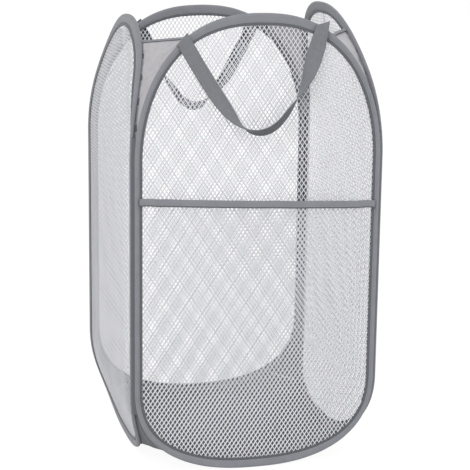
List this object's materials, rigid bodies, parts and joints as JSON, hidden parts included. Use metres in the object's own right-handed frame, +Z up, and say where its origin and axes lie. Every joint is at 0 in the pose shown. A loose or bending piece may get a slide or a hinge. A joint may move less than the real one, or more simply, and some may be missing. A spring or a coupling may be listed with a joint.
{
  "type": "pop up laundry hamper",
  "caption": "Square pop up laundry hamper: mesh panels in sprung hoops with cloth bindings, an open top, a front mesh pocket and webbing handles; it folds flat at its corner seams.",
  "frame": {"origin": "centre of the floor, at the height where the hamper stands", "axes": "+Z up, -Y towards the front panel with the pocket, +X to the right as seen from the front"},
  "size_m": [0.341, 0.3752, 0.612],
  "materials": {
    "binding": "woven polyester tape, matt",
    "mesh": "knitted polyester mesh with diamond holes",
    "wire": "sprung steel wire",
    "ferrule": "crimped steel sleeve",
    "floor_cloth": "close woven polyester, matt",
    "nylon": "thin crinkled nylon with a sheen",
    "webbing": "twill webbing, matt"
  },
  "bodies": {
    "back": {"back_binding": "binding", "back_hoop_wire": "wire", "back_wire_ferrule": "ferrule", "back_mesh": "mesh", "floor_panel": "floor_cloth", "floor_border_front": "floor_cloth", "floor_border_right": "floor_cloth", "floor_border_back": "floor_cloth", "floor_border_left": "floor_cloth", "lower_gusset_back_left": "floor_cloth", "upper_gusset_back_left": "nylon", "gusset_hem_back_left": "binding", "lower_gusset_back_right": "floor_cloth", "upper_gusset_back_right": "nylon", "gusset_hem_back_right": "binding", "back_handle_tab_a": "webbing", "back_handle_tab_b": "webbing"},
    "left": {"left_binding": "binding", "left_hoop_wire": "wire", "left_wire_ferrule": "ferrule", "left_mesh": "mesh", "lower_gusset_front_left": "floor_cloth", "upper_gusset_front_left": "nylon", "gusset_hem_front_left": "binding"},
    "right": {"right_binding": "binding", "right_hoop_wire": "wire", "right_wire_ferrule": "ferrule", "right_mesh": "mesh", "lower_gusset_front_right": "floor_cloth", "upper_gusset_front_right": "nylon", "gusset_hem_front_right": "binding"},
    "front": {"front_binding": "binding", "front_hoop_wire": "wire", "front_wire_ferrule": "ferrule", "front_mesh": "mesh", "front_handle_tab_a": "webbing", "front_handle_tab_b": "webbing", "pocket_mesh": "mesh", "pocket_edge_band": "binding"},
    "handle_front": {"front_handle": "webbing"},
    "handle_back": {"back_handle": "webbing"}
  },
  "joints": [
    {"name": "left_fold", "type": "hinge", "parent": "back", "child": "left", "pos_m": [-0.16525, 0.16125, 0.3], "axis": [0, 0, 1], "range_deg": [-62, 62], "stiffness_Nm_per_rad": 0.05, "deforming": ["floor_panel", "floor_border_front", "floor_border_right", "floor_border_back", "floor_border_left", "lower_gusset_front_right", "upper_gusset_front_right", "gusset_hem_front_right", "lower_gusset_back_right", "upper_gusset_back_right", "gusset_hem_back_right", "lower_gusset_back_left", "upper_gusset_back_left", "gusset_hem_back_left", "lower_gusset_front_left", "upper_gusset_front_left", "gusset_hem_front_left"]},
    {"name": "right_fold", "type": "hinge", "parent": "back", "child": "right", "pos_m": [0.16525, 0.16125, 0.3], "axis": [0, 0, 1], "range_deg": [-62, 62]},
    {"name": "front_fold", "type": "hinge", "parent": "left", "child": "front", "pos_m": [-0.16525, -0.16125, 0.3], "axis": [0, 0, 1], "range_deg": [-62, 62]},
    {"name": "front_handle_swing", "type": "hinge", "parent": "front", "child": "handle_front", "pos_m": [0, -0.16855, 0.566], "axis": [-1, 0, 0], "range_deg": [0, 170]},
    {"name": "back_handle_swing", "type": "hinge", "parent": "back", "child": "handle_back", "pos_m": [0, 0.16855, 0.556], "axis": [1, 0, 0], "range_deg": [0, 170]}
  ],
  "couplings": [
    {"joint": "right_fold", "follows": "left_fold", "ratio": 1},
    {"joint": "front_fold", "follows": "left_fold", "ratio": -1}
  ]
}
